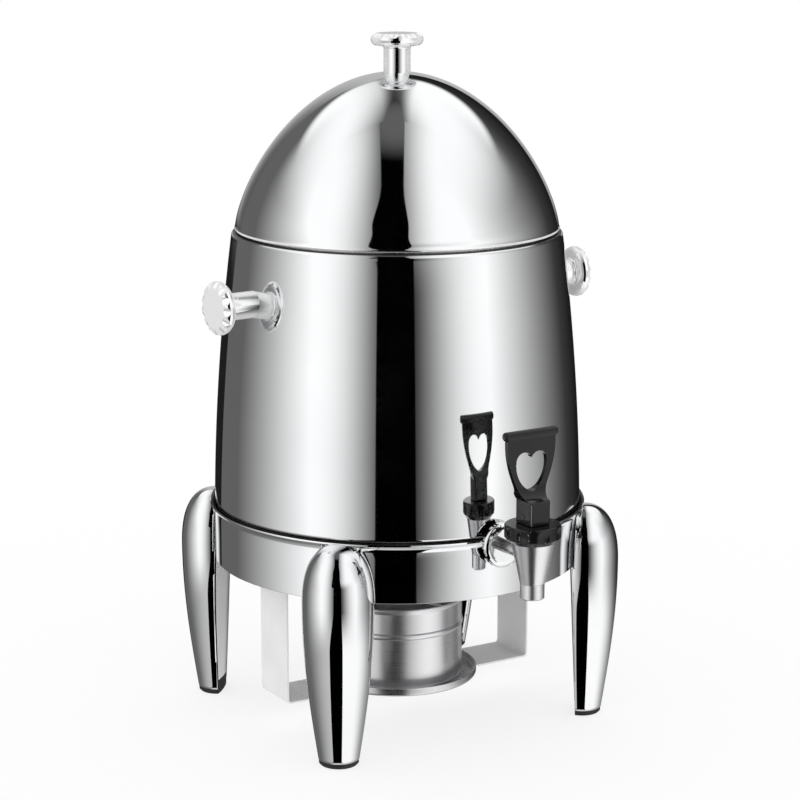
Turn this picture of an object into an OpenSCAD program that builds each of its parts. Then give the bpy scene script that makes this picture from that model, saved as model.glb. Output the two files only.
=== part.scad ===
/*
  Domed drink dispenser on a four-legged stand with a burner cup below.
  Millimetres, +Z up. The origin is on the vessel's axis, on the surface
  that the feet stand on. The tap points along -Y.
*/

/* [Stand ring] */
// Outer radius of the stand's band
band_r = 151.6; // [140:0.2:170]
// Height of the band's lower edge above the table
band_z = 131; // [110:1:150]
// Height of the band with its flared lip
band_h = 47.8; // [42:0.2:60]
// Sheet thickness of the stand's pressed parts
sheet_t = 1.2; // [0.8:0.1:2]
// Radius of the lip's outward flare
flare_r = 6.3; // [4:0.1:8]
// Angle that the lip's flare turns through
flare_angle = 66; // [40:1:80]
// Depth of the ledge below the lip's edge
ledge_drop = 18.8; // [16:0.2:22]
// Thickness of the ledge that carries the vessel
ledge_t = 2; // [1.5:0.1:3]
// Width of the ledge inwards from the band
ledge_w = 42; // [40:1:46]
// Height of the ledge's flange inside the band
ledge_flange_h = 22; // [21:0.5:24]

/* [Legs] */
// Angle of each leg from the nearer of front and back
leg_angle = 48.5; // [42:0.5:52]
// Largest radius of a leg
leg_r = 28.3; // [25:0.1:32]
// Distance of a leg's own axis outside the band
leg_offset = 4.9; // [4:0.1:7]
// How far a leg's back reaches in under the band
leg_back_reach = 6; // [4.5:0.5:8]
// Radius of the crown across a leg's back
leg_crown_r = 90; // [70:1:120]
// Radius of a leg at its foot
leg_foot_r = 15.6; // [14:0.1:19]
// Height at which a leg is widest
leg_belly_z = 130; // [120:1:135]
// Height of a leg's rounded top
leg_top_z = 178.4; // [176:0.1:182]
// Wall thickness of a leg's shell
leg_wall = 2.2; // [1.6:0.1:3]
// Thickness of the plate that closes a leg's back
leg_plate_t = 2; // [1.5:0.1:3]
// Height of the rubber foot below a leg
foot_h = 4.6; // [3:0.1:7]
// Depth of the foot's plug inside the leg
foot_plug_h = 8; // [5:0.5:12]

/* [Burner] */
// How far the strap's uprights stand outside the ledge's inner edge
strap_set = 9.6; // [6:0.2:14]
// Width of the bracket's strap
strap_w = 44; // [36:1:50]
// Thickness of the bracket's strap
strap_t = 1.5; // [1.2:0.1:2]
// Height of the strap's underside
strap_z = 23.5; // [18:0.5:34]
// Outside radius of the strap's bends
strap_bend_r = 4; // [3:0.5:8]
// Length of the tab at each end of the strap
strap_tab = 24; // [20:1:26]
// Outer radius of the tray
tray_r = 66.7; // [62:0.1:76]
// Height of the tray's wall
tray_h = 6.5; // [5.8:0.1:10]
// Outer radius of the fuel cup
cup_r = 54.5; // [44:0.5:56]
// Height of the fuel cup
cup_h = 69.4; // [50:0.2:74]
// Wall thickness of the fuel cup
cup_t = 1; // [0.8:0.1:1.5]
// How far the fuel cup's rim flares out
cup_rim = 1.6; // [1:0.1:2.5]
// Height of the bead pressed round the cup above its base
cup_bead_z = 45.6; // [25:0.2:46]
// How far the bead stands out of the cup's wall
cup_bead = 1; // [0.5:0.1:1.5]

/* [Vessel] */
// Wall thickness of the vessel
vessel_t = 1.2; // [0.8:0.1:2]
// Gap round the vessel's skirt inside the band
skirt_gap = 0.8; // [0.5:0.1:1.5]
// How far the barrel's foot stands out over the skirt
foot_step = 1.7; // [1.2:0.1:2.5]
// Height of the barrel's foot above the lip's edge
barrel_gap = 1.6; // [1:0.1:4]
// Height of the vessel's shoulder above its foot on the ledge
vessel_h = 241.8; // [200:0.2:300]
// Radius of the barrel just below its top
barrel_top_r = 134.7; // [128:0.1:140]
// How far the barrel's side bows out between its ends
barrel_bow = 3.1; // [0:0.1:5]
// Radius of the roll round the barrel's top
barrel_roll = 3; // [2.2:0.1:4]
// Width of the flat rim from the barrel's side to the mouth
rim_w = 9.7; // [8:0.1:14]
// Depth of the lip turned down round the mouth
mouth_lip = 5; // [3:0.5:8]
// Height of the raised floor above the ledge
floor_rise = 6; // [5:0.5:6.5]
// Width of the flat ring that the vessel stands on
floor_ring = 9.4; // [8:0.2:14]

/* [Lid] */
// How far the dome's base stands in from the barrel's side
dome_set = 3.1; // [2:0.1:6]
// Height of the dome above its base
dome_h = 125.4; // [90:0.2:150]
// Fullness of the dome's outline, 2 is an ellipse
dome_share = 1.457; // [1.3:0.01:2.2]
// Sheet thickness of the lid
lid_t = 1; // [0.8:0.1:1.4]
// Shadow gap between the lid's rim and the vessel
lid_gap = 1.6; // [1:0.1:3]
// Height of the rolled rim round the dome
rim_h = 2.4; // [1.6:0.1:4]
// How far the rolled rim stands out of the dome
rim_proud = 0.5; // [0.3:0.1:1.2]
// Depth of the lid's collar inside the mouth
collar_h = 11; // [7:0.5:16]
// Gap round the lid's collar
collar_gap = 0.8; // [0.5:0.1:1.5]

/* [Knobs] */
// Radius of a knob's head
knob_r = 21.2; // [18:0.1:24]
// Thickness of a knob's head
knob_head_h = 9.8; // [8:0.1:12]
// Radius of a knob's stem
knob_stem_r = 10.8; // [9:0.1:12]
// Height of the lid's knob
knob_h = 31.2; // [27:0.1:38]
// Length of a side handle from wall to face
handle_l = 35; // [30:0.5:48]
// Drop from the vessel's top to the middle of the side handles
handle_drop = 47.3; // [40:0.1:90]
// Angle of the side handles from the tap
handle_angle = 86; // [80:1:90]
// Number of scallops round a knob's edge
scallops = 14; // [8:1:16]
// Radius of the cutter that makes a scallop
scallop_r = 7; // [6:0.5:9]
// Radius of the flat on a knob's face
knob_face_r = 15.2; // [14:0.1:16]

/* [Tap] */
// Distance of the outlet's axis outside the band
tap_reach = 46.7; // [44:0.1:60]
// Height of the tap's shank above the ledge
tap_rise = 14; // [13.5:0.1:15]
// Radius of the shank
shank_r = 5.2; // [4.6:0.1:5.6]
// Radius of the shank's bore
shank_bore_r = 2.5; // [2:0.1:3.6]
// Radius of the collar's flange
flange_r = 18.2; // [15:0.1:20]
// Thickness of the collar's flange at its edge
flange_t = 2.5; // [2:0.1:4]
// Height of the collar's domed front
flange_dome = 3.6; // [2:0.1:5]
// Radius of the collar's front face
flange_face_r = 12.6; // [9:0.1:14]
// Radius of the collar's boss that passes the band
boss_r = 9.5; // [8:0.1:11]
// Radius of the outlet tube
outlet_r = 9.6; // [8:0.05:10]
// Radius of the outlet's bore
outlet_bore_r = 6; // [5:0.1:6.5]
// Length of the outlet tube
outlet_l = 12.4; // [10:0.2:20]
// Height of the tapered body above the outlet tube
cone_h = 32.4; // [30:0.2:38]
// Radius of the tapered body at its top
cone_r = 16.7; // [16:0.1:18]
// How far the tapered body's top stands above the shank's axis
cone_top_rise = 12.4; // [11:0.2:14]
// Radius of the valve chamber
chamber_r = 9.5; // [9.2:0.1:10]
// Height of the valve seat above the outlet tube
seat_rise = 12; // [11:0.2:13]

/* [Tap bonnet and lever] */
// Outer radius of the bonnet
bonnet_r = 21.9; // [20:0.1:24]
// Height of the bonnet
bonnet_h = 14.6; // [13:0.2:18]
// Height of the bonnet's lower chamfer
bonnet_chamfer = 4.4; // [3:0.2:6]
// Depth of each scoop in the bonnet's side
scoop_depth = 1.5; // [0.8:0.1:2]
// Number of scoops round the bonnet
scoops = 8; // [6:1:10]
// Angle of the first scoop from the front
scoop_turn = 11; // [0:1:22]
// Width of the lever's neck
neck_w = 18.4; // [16:0.2:22]
// Depth of the lever's neck
neck_d = 21.6; // [21:0.2:24]
// Height of the lever's neck below the blade's sweep
neck_h = 18.4; // [16:0.2:21]
// Full width of the lever's blade
blade_w = 43.6; // [40:0.2:48]
// Thickness of the lever's blade
blade_t = 4.9; // [4:0.1:6]
// How far the blade's front lies behind the tap's axis
blade_set = 2.2; // [0:0.1:3]
// Height of the lever, from bonnet to the middle of its bar
lever_h = 68.8; // [65:0.2:80]
// Height over which the blade widens
blade_flare_h = 43; // [36:0.5:46]
// Radius of the bar across the lever's top
bar_r = 3.6; // [3:0.1:4.5]
// Length of the bar
bar_l = 48.5; // [46:0.5:56]
// Radius of the sweep from blade to neck at the front
sweep_r = 13; // [12:0.5:16]
// Radius of the sweep at the back
back_sweep_r = 9; // [7.5:0.5:10]
// Radius of each lobe of the heart-shaped hole
heart_lobe_r = 7.2; // [6:0.1:8]
// Distance of each lobe from the middle
heart_lobe_x = 6.7; // [5:0.1:7]
// Radius of the heart's point
heart_tip_r = 6.3; // [4:0.1:6.8]
// Height of the lobes' centres above the heart's point
heart_h = 17; // [15:0.1:18]
// Distance of the lobes' centres below the bar
heart_drop = 20.7; // [20:0.1:23]
// Radius of the bow in each side of the heart
heart_side_r = 24; // [20:1:60]

/* [Hidden] */
$fn = 96;

// Overrun of cuts past the faces that they open
over = 1;
// Facets of a round wall that a thin gasket lies against
WALL_FN = 360;
// Steps in an arc drawn as points
ARC_STEPS = 8;
// Steps in a long curved outline
CURVE_STEPS = 18;

// Clearance of a screw in its hole, and of its thread in a boss
screw_clear = 0.3;
thread_clear = 0.1;
// Running clearance of the valve stem, and of pieces that pass each other
stem_clear = 0.1;
pass_clear = 0.6;

// Heights and radii of the stand
lip_z = band_z + band_h;
lip_r = band_r + flare_r*(1 - cos(flare_angle));
flare_root_z = lip_z - (flare_r + sheet_t)*sin(flare_angle);
ledge_z = lip_z - ledge_drop;
band_in_r = band_r - sheet_t;
ledge_in_r = band_in_r - ledge_w;
flange_in_r = band_in_r - ledge_t;

// Legs
leg_axis_r = band_r + leg_offset;
leg_top_share = 2.4;
bolt_r = 2.4;
bolt_head_r = 4.5;
bolt_head_h = 2.8;
bolt_bite = 14;
bolt_edge = 9;
bolt_pitch = 11;
bolt_heights = [band_z + bolt_edge, band_z + bolt_edge + bolt_pitch];
leg_boss_r = 4.8;
lip_clear = 0.4;
leg_step_gap = 0.4;
leg_back_tilt = atan(leg_back_reach/band_z);
foot_inset = 0.5;
foot_chamfer = 1.4;
plug_clear = 0.15;
LEG_TURNS = [-leg_angle, leg_angle, leg_angle - 180, 180 - leg_angle];

// Burner
strap_half = ledge_in_r + strap_set;
strap_top_z = ledge_z - ledge_t;
tab_screw_y = 12;
tab_screw_x = strap_half + strap_tab/2;
screw_r = 2;
screw_head_r = 4;
screw_head_h = 2.4;
nut_r = 3.8;
nut_h = 2.6;
tray_z = strap_z + strap_t;
tray_floor_z = tray_z + sheet_t;
tray_bend_r = 2.4;
rivet_r = 2;
rivet_head_r = 3.6;
rivet_head_h = 1.2;
rivet_x = 30;
cup_base_r = 3;
cup_rim_h = 4.6;
cup_rim_r = 0.9;
cup_bead_h = 5;

// Vessel
skirt_r = band_in_r - skirt_gap;
skirt_in_r = skirt_r - vessel_t;
barrel_foot_r = skirt_r + foot_step;
barrel_foot_z = lip_z + barrel_gap;
vessel_top_z = ledge_z + vessel_h;
barrel_top_z = vessel_top_z - barrel_roll;
mouth_r = barrel_top_r - rim_w;
floor_step_r = skirt_in_r - floor_ring;
floor_top_z = ledge_z + floor_rise;

// Lid
dome_r = barrel_top_r - dome_set;
dome_rim_z = vessel_top_z + lid_gap;
dome_z = dome_rim_z + lid_gap/2;
collar_out_r = mouth_r - collar_gap;
collar_in_r = collar_out_r - lid_t;
seat_r = knob_stem_r + 1.2;
seat_u = pow(1 - pow(seat_r/dome_r, 2), 1/dome_share);
seat_z = dome_z + dome_h*seat_u;
collar_flange = 3.5;

// Knobs
knob_flare = 2.4;
knob_screw_r = 1.5;
knob_screw_bite = 12;
knob_screw_head_r = 3;
knob_screw_head_h = 2.2;
washer_r = 7;
washer_t = 1.2;
gasket_t = 1.6;
scallop_drop = 3.4;
handle_mid_z = vessel_top_z - handle_drop;

// Tap
tap_y = -(band_r + tap_reach);
tap_z = ledge_z + tap_rise;
tap_gasket_t = 1.5;
gasket_over_foot = 0.6;
collar_back_r = barrel_foot_r + gasket_over_foot;
flange_back_y = -(lip_r + lip_clear);
notch_r = boss_r + pass_clear;
locknut_h = 5;
locknut_r = 10.2;
shank_tail = 4;
shank_clear = 0.1;
cone_top_z = tap_z + cone_top_rise;
outlet_top_z = cone_top_z - cone_h;
outlet_z = outlet_top_z - outlet_l;
outlet_chamfer = 0.8;
outlet_groove = 0.4;
cone_foot_step = 0.7;
seat_z_tap = outlet_top_z + seat_rise;
neck_thread_r = 15;
neck_thread_h = 9.6;
bonnet_clear = 0.2;
bonnet_top_z = cone_top_z + bonnet_h;
bonnet_roof = 4;
bonnet_round = 1.6;
bonnet_foot_r = cone_r + 0.6;

// Valve stem, its seat cup and spring
stem_r = 2.5;
cup_seal_r = 8;
cup_body_r = 6.4;
cup_seal_h = 3;
cup_body_h = 13;
cup_lip_r = 0.3;
stem_flange_r = 6.6;
stem_flange_h = 1.4;
spring_r = 4.6;
wire_r = 0.5;
spring_turns = 5;
SPRING_RINGS = 8;
WIRE_SIDES = 6;

// Lever, counted from the pin that joins it to the stem
lever_gap = 0.3;
lever_z = bonnet_top_z + lever_gap;
fulcrum_y = tap_y - neck_d/2;
pin_r = 1.5;
pin_rise = 6;
pin_clear = 0.05;
slot_clear = 0.25;
lever_swing = 20;
pin_travel = (neck_d/2)*(1 - cos(lever_swing)) + pin_rise*sin(lever_swing);
eye_wall = 1.4;
eye_w = 5;
pocket_gap = 0.5;
pocket_side = 0.4;
bar_end = 2;
neck_edge = 1.5;

// Points along an arc from angle a0 to a1
function arc_points(c, r, a0, a1) =
    [for (i = [0:ARC_STEPS]) let (a = a0 + (a1 - a0)*i/ARC_STEPS) c + r*[cos(a), sin(a)]];

// Radius of a leg's section at height z, drawn in by inset
function leg_section(z, inset) =
    z <= leg_belly_z
        ? leg_foot_r - inset + (leg_r - leg_foot_r)*sin(90*z/leg_belly_z)
        : (leg_r - inset)*pow(1 - pow(leg_rise_share(z, inset), leg_top_share), 1/leg_top_share);
function leg_rise_share(z, inset) = min(1, (z - leg_belly_z)/(leg_top_z - inset - leg_belly_z));

// Outer radius of the barrel at height z
function barrel_r(z) =
    let (u = (z - barrel_foot_z)/(barrel_top_z - barrel_foot_z))
    barrel_foot_r + (barrel_top_r - barrel_foot_r)*u + 4*barrel_bow*u*(1 - u);
function barrel_points(inset) =
    [for (i = [0:CURVE_STEPS]) let (z = barrel_foot_z + (barrel_top_z - barrel_foot_z)*i/CURVE_STEPS)
        [barrel_r(z) - inset, z]];

// Points of the dome's outline from its base to the knob's seat
function dome_points(inset) =
    let (end = asin(pow(1 - pow(seat_r/(dome_r - inset), 2), 1/dome_share)))
    [for (i = [0:CURVE_STEPS]) let (u = sin(end*i/CURVE_STEPS))
        [(dome_r - inset)*sqrt(1 - pow(u, dome_share)), dome_z + (dome_h - inset)*u]];

function reversed(points) = [for (i = [len(points) - 1:-1:0]) points[i]];

// A straight rod from one place along +Z
module rod(r, z0, z1) {
    translate([0, 0, z0]) cylinder(r = r, h = z1 - z0);
}

// Turns children that stand along +Z to point out of the vessel at an angle from the front
module outward(turn, z) {
    rotate([0, 0, turn]) translate([0, 0, z]) rotate([90, 0, 0]) children();
}

// Stand ring

module stand_band() {
    flare_c = [band_r + flare_r, flare_root_z];
    color("silver") difference() {
        rotate_extrude() polygon(concat(
            [[band_in_r, band_z], [band_r, band_z]],
            arc_points(flare_c, flare_r, 180, 180 - flare_angle),
            arc_points(flare_c, flare_r + sheet_t, 180 - flare_angle, 180)
        ));
        tap_notch();
        for (turn = LEG_TURNS, z = bolt_heights)
            outward(turn, z) rod(bolt_r + screw_clear, band_in_r - over, band_r + over);
    }
}

// Slot in the band that lets the tap's collar lift out with the vessel
module tap_notch() {
    outward(0, tap_z) rod(notch_r, ledge_in_r, lip_r + over);
    translate([-notch_r, -lip_r - over, tap_z]) cube([2*notch_r, lip_r - ledge_in_r, band_h]);
}

module support_ledge() {
    color("gray") difference() {
        rotate_extrude() polygon([
            [ledge_in_r, ledge_z - ledge_t], [flange_in_r, ledge_z - ledge_t],
            [flange_in_r, ledge_z - ledge_flange_h], [band_in_r, ledge_z - ledge_flange_h],
            [band_in_r, ledge_z], [ledge_in_r, ledge_z]
        ]);
        for (turn = LEG_TURNS, z = bolt_heights)
            outward(turn, z) rod(bolt_r + screw_clear, flange_in_r - over, band_in_r + over);
        tab_holes(ledge_z - ledge_t, ledge_z);
    }
}

module tab_holes(z0, z1) {
    for (sx = [-1, 1], sy = [-1, 1])
        translate([sx*tab_screw_x, sy*tab_screw_y, 0]) rod(screw_r + screw_clear, z0 - over, z1 + over);
}

// Legs, each drawn at the front and turned into place

module leg_solid(inset, z0) {
    top = leg_top_z - inset;
    lower = [for (i = [0:CURVE_STEPS]) let (z = z0 + (leg_belly_z - z0)*i/CURVE_STEPS)
        [leg_section(z, inset), z]];
    upper = [for (i = [1:CURVE_STEPS - 1]) let (z = leg_belly_z + (top - leg_belly_z)*sin(90*i/CURVE_STEPS))
        [leg_section(z, inset), z]];
    tip = [0, upper[len(upper) - 1][1]];
    translate([0, -leg_axis_r, 0]) rotate_extrude() polygon(concat([[0, z0]], lower, upper, [tip]));
}

// Everything behind a leg: a plane where it touches the band, and a leaning crowned back below
module behind_leg(depth) {
    half = 2*leg_r;
    step_z = band_z - leg_step_gap - depth;
    out_r = leg_axis_r + leg_r;
    translate([-half, -band_r - depth, step_z]) cube([2*half, band_r, leg_top_z]);
    difference() {
        translate([-half, -out_r, -over]) cube([2*half, out_r, step_z + over]);
        leg_crown(depth);
    }
}

// The leaning cylinder whose nearer side is the crowned back of a leg
module leg_crown(depth) {
    translate([0, -band_r - leg_crown_r, 0]) rotate([-leg_back_tilt, 0, 0])
        rod(leg_crown_r - depth, -band_z, 2*band_z);
}

module leg_bosses() {
    for (z = bolt_heights)
        translate([0, 0, z]) rotate([90, 0, 0])
            rod(leg_boss_r, band_r + leg_plate_t, leg_axis_r + leg_r);
}

module leg_bolt_holes(r, from, to) {
    for (z = bolt_heights)
        translate([0, 0, z]) rotate([90, 0, 0]) rod(r, from, to);
}

module leg(turn) {
    color("gainsboro") rotate([0, 0, turn]) difference() {
        union() {
            difference() {
                leg_solid(0, foot_h);
                leg_solid(leg_wall, foot_h - over);
            }
            intersection() {
                leg_bosses();
                leg_solid(leg_wall/2, foot_h);
            }
        }
        behind_leg(0);
        rod(lip_r + lip_clear, flare_root_z - lip_clear, leg_top_z + over);
        leg_bolt_holes(bolt_r + thread_clear, band_r, band_r + leg_plate_t + bolt_bite);
    }
}

module leg_plate(turn) {
    color("gray") rotate([0, 0, turn]) difference() {
        intersection() {
            leg_solid(leg_wall, foot_h + foot_plug_h);
            behind_leg(leg_plate_t);
        }
        behind_leg(0);
        rod(lip_r + leg_plate_t, flare_root_z - lip_clear, leg_top_z + over);
        leg_bolt_holes(bolt_r + screw_clear, band_r - over, leg_axis_r);
    }
}

module foot(turn) {
    tip = leg_section(foot_h, 0) - foot_inset;
    color("dimgray") rotate([0, 0, turn]) intersection() {
        union() {
            translate([0, -leg_axis_r, 0]) rotate_extrude() polygon([
                [0, 0], [tip - foot_chamfer, 0], [tip, foot_chamfer], [tip, foot_h], [0, foot_h]
            ]);
            intersection() {
                leg_solid(leg_wall + plug_clear, foot_h - over);
                rod(lip_r + 2*leg_r, foot_h, foot_h + foot_plug_h);
            }
        }
        translate([0, -band_r - leg_crown_r, 0]) rod(leg_crown_r, -over, leg_belly_z);
    }
}

module leg_bolts() {
    color("dimgray") for (turn = LEG_TURNS, z = bolt_heights)
        outward(turn, z) {
            rod(bolt_r, flange_in_r - bolt_head_h/2, band_r + leg_plate_t + bolt_bite - over);
            rod(bolt_head_r, flange_in_r - bolt_head_h - sheet_t, flange_in_r - sheet_t);
        }
}

// Burner bracket, tray and cup

module strap_corner(r) {
    translate([strap_half - strap_bend_r, strap_z + strap_bend_r]) circle(r = r);
}

// Half of the strap seen from the front, from the middle to its tab
module strap_half_profile() {
    difference() {
        translate([0, strap_z]) square([strap_half, strap_top_z - strap_z]);
        translate([-over, strap_z + strap_t]) square([over + strap_half - strap_t, strap_top_z - strap_z]);
        translate([strap_half - strap_bend_r, strap_z]) square(strap_bend_r);
    }
    intersection() {
        difference() {
            strap_corner(strap_bend_r);
            strap_corner(strap_bend_r - strap_t);
        }
        translate([strap_half - strap_bend_r, strap_z]) square(strap_bend_r);
    }
    translate([strap_half - strap_t, strap_top_z - strap_t]) square([strap_t + strap_tab, strap_t]);
}

module burner_bracket() {
    color("silver") difference() {
        rotate([90, 0, 0]) linear_extrude(strap_w, center = true) {
            strap_half_profile();
            mirror([1, 0]) strap_half_profile();
        }
        tab_holes(strap_top_z - strap_t, strap_top_z);
        rivet_holes(strap_z, strap_z + strap_t);
    }
}

module rivet_holes(z0, z1) {
    for (sx = [-1, 1])
        translate([sx*rivet_x, 0, 0]) rod(rivet_r, z0 - over, z1 + over);
}

module bracket_screws() {
    color("dimgray") for (sx = [-1, 1], sy = [-1, 1])
        translate([sx*tab_screw_x, sy*tab_screw_y, 0]) {
            rod(screw_head_r, strap_top_z - strap_t - screw_head_h, strap_top_z - strap_t);
            rod(screw_r, strap_top_z - strap_t - screw_head_h/2, ledge_z + nut_h);
            translate([0, 0, ledge_z]) cylinder(r = nut_r, h = nut_h, $fn = 6);
        }
}

module burner_tray() {
    in_r = tray_r - sheet_t;
    out_c = [tray_r - tray_bend_r, tray_z + tray_bend_r];
    color("silver") difference() {
        rotate_extrude() polygon(concat(
            [[0, tray_z]],
            arc_points(out_c, tray_bend_r, -90, 0),
            [[tray_r, tray_z + tray_h], [in_r, tray_z + tray_h]],
            arc_points(out_c, tray_bend_r - sheet_t, 0, -90),
            [[0, tray_floor_z]]
        ));
        rivet_holes(tray_z, tray_floor_z);
    }
}

module tray_rivets() {
    color("gray") for (sx = [-1, 1])
        translate([sx*rivet_x, 0, 0]) {
            rod(rivet_r, strap_z - rivet_head_h/2, tray_floor_z);
            rod(rivet_head_r, strap_z - rivet_head_h, strap_z);
        }
}

// The cup's wall, drawn in by inset, with its base round, bead and flared rim
function cup_wall(inset) =
    let (r = cup_r - inset, base = cup_base_r - inset, top = cup_h - cup_rim_h, half = cup_bead_h/2)
    concat(
        arc_points([cup_r - cup_base_r, cup_base_r], base, -90, 0),
        [for (i = [0:ARC_STEPS]) let (s = i/ARC_STEPS)
            [r + cup_bead*sin(180*s), cup_bead_z - half + cup_bead_h*s]],
        [[r, top]],
        [[r + cup_rim, cup_h - cup_rim_r]]
    );

module fuel_cup() {
    rim_c = [cup_r + cup_rim - cup_t/2, cup_h - cup_rim_r];
    color("silver") translate([0, 0, tray_floor_z]) rotate_extrude() union() {
        polygon(concat([[0, 0]], cup_wall(0), reversed(cup_wall(cup_t)), [[0, cup_t]]));
        translate(rim_c) circle(r = cup_rim_r, $fn = 32);
    }
}

// Vessel

module vessel_shell() {
    roll_c = [barrel_top_r - barrel_roll, barrel_top_z];
    drop = barrel_foot_z - foot_step;
    wall_r = barrel_r(handle_mid_z);
    color("silver") difference() {
        rotate_extrude() polygon(concat(
            [[skirt_in_r, ledge_z], [skirt_r, ledge_z], [skirt_r, drop]],
            barrel_points(0),
            arc_points(roll_c, barrel_roll, 0, 90),
            [[mouth_r, vessel_top_z], [mouth_r, vessel_top_z - mouth_lip],
             [mouth_r + vessel_t, vessel_top_z - mouth_lip], [mouth_r + vessel_t, vessel_top_z - vessel_t]],
            arc_points(roll_c, barrel_roll - vessel_t, 90, 0),
            reversed(barrel_points(vessel_t)),
            [[skirt_in_r, drop]]
        ));
        outward(0, tap_z) rod(shank_r + screw_clear, floor_step_r, skirt_r + over);
        for (turn = [-handle_angle, handle_angle])
            outward(turn, handle_mid_z)
                rod(knob_screw_r + screw_clear, wall_r - vessel_t - over, wall_r + over);
    }
}

// The room inside the barrel and the solid that its outer face bounds
module barrel_core(inset) {
    rotate_extrude($fn = WALL_FN) polygon(concat(
        [[0, barrel_foot_z]], barrel_points(inset), [[0, barrel_top_z]]
    ));
}

// The solid that the outer face of the vessel's skirt and barrel bounds
module vessel_core() {
    rotate_extrude($fn = WALL_FN) polygon(concat(
        [[0, ledge_z], [skirt_r, ledge_z], [skirt_r, barrel_foot_z - foot_step]],
        barrel_points(0), [[0, barrel_top_z]]
    ));
}

module vessel_floor() {
    color("gray") rotate_extrude() polygon([
        [floor_step_r, ledge_z], [skirt_in_r, ledge_z], [skirt_in_r, ledge_z + vessel_t],
        [floor_step_r + vessel_t, ledge_z + vessel_t], [floor_step_r + vessel_t, floor_top_z],
        [0, floor_top_z], [0, floor_top_z - vessel_t], [floor_step_r, floor_top_z - vessel_t]
    ]);
}

// A knob standing on z = 0 with its face at z = h
module knob(h, root) {
    rim = knob_head_h/2;
    under = h - knob_head_h;
    flare_c = [knob_stem_r + knob_flare, under - knob_flare];
    scallop_mid = [(knob_face_r + knob_r)/2, h - scallop_drop/2];
    tilt = atan2(scallop_drop, knob_r - knob_face_r);
    difference() {
        rotate_extrude() polygon(concat(
            [[0, -root], [knob_stem_r, -root]],
            arc_points(flare_c, knob_flare, 180, 90),
            arc_points([knob_r - rim, h - rim], rim, -90, 90),
            [[0, h]]
        ));
        for (i = [0:scallops - 1])
            rotate([0, 0, 360*i/scallops])
                translate([scallop_mid[0], 0, scallop_mid[1]])
                    rotate([0, 90 + tilt, 0])
                        translate([-scallop_r, 0, -knob_r/2]) cylinder(r = scallop_r, h = knob_r);
        rod(knob_screw_r + thread_clear, -root - over, knob_screw_bite);
    }
}

module handle(turn) {
    wall_r = barrel_r(handle_mid_z);
    root = knob_stem_r/2;
    color("gainsboro") difference() {
        outward(turn, handle_mid_z) translate([0, 0, wall_r]) knob(handle_l, root);
        barrel_core(0);
    }
}

// Places children, drawn from z = 0 along +Z, at the wall behind both handles, pointing out
module behind_handles(depth) {
    for (turn = [-handle_angle, handle_angle])
        outward(turn, handle_mid_z) translate([0, 0, barrel_r(handle_mid_z) - vessel_t - depth])
            children();
}

module handle_gaskets() {
    color("dimgray") difference() {
        intersection() {
            behind_handles(gasket_t) cylinder(r = washer_r, h = gasket_t + vessel_t);
            barrel_core(vessel_t);
        }
        behind_handles(gasket_t + over) cylinder(r = knob_screw_r + screw_clear, h = handle_l);
    }
}

module handle_washers() {
    color("silver") behind_handles(gasket_t + washer_t) difference() {
        cylinder(r = washer_r, h = washer_t);
        rod(knob_screw_r + screw_clear, -over, washer_t + over);
    }
}

module handle_screws() {
    color("gray") behind_handles(gasket_t + washer_t + knob_screw_head_h) {
        cylinder(r = knob_screw_head_r, h = knob_screw_head_h);
        rod(knob_screw_r, knob_screw_head_h/2,
            knob_screw_head_h + washer_t + gasket_t + vessel_t + knob_screw_bite - over);
    }
}

// Lid

module lid_dome() {
    top_z = seat_z;
    rim_r = dome_r + rim_proud;
    color("silver") difference() {
        rotate_extrude() polygon(concat(
            [[collar_out_r, dome_rim_z], [rim_r - rim_proud/2, dome_rim_z], [rim_r, dome_rim_z + rim_proud/2],
             [rim_r, dome_rim_z + rim_h - rim_proud]],
            [for (p = dome_points(0)) if (p[1] > dome_rim_z + rim_h) p],
            [[0, top_z], [0, top_z - lid_t], [washer_r + lid_t, top_z - lid_t]],
            reversed([for (p = dome_points(lid_t))
                if (p[1] > dome_rim_z + lid_t && p[0] > washer_r + lid_t) p]),
            [[dome_r - lid_t, dome_rim_z + lid_t], [collar_out_r, dome_rim_z + lid_t]]
        ));
        rod(knob_screw_r + screw_clear, top_z - lid_t - over, top_z + over);
    }
}

module lid_collar() {
    color("gray") rotate_extrude() polygon([
        [collar_in_r, vessel_top_z - collar_h], [collar_out_r, vessel_top_z - collar_h],
        [collar_out_r, vessel_top_z], [collar_out_r + collar_flange, vessel_top_z],
        [collar_out_r + collar_flange, dome_rim_z], [collar_in_r, dome_rim_z]
    ]);
}

module lid_knob() {
    color("gainsboro") translate([0, 0, seat_z]) knob(knob_h, 0);
}

module lid_knob_washer() {
    color("dimgray") translate([0, 0, seat_z - lid_t - washer_t]) difference() {
        cylinder(r = washer_r, h = washer_t);
        rod(knob_screw_r + screw_clear, -over, washer_t + over);
    }
}

module lid_knob_screw() {
    head_z = seat_z - lid_t - washer_t - knob_screw_head_h;
    color("gray") {
        rod(knob_screw_head_r, head_z, head_z + knob_screw_head_h);
        rod(knob_screw_r, head_z + knob_screw_head_h/2, seat_z + knob_screw_bite - over);
    }
}

// Tap

module at_tap() {
    translate([0, tap_y, 0]) children();
}

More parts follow.
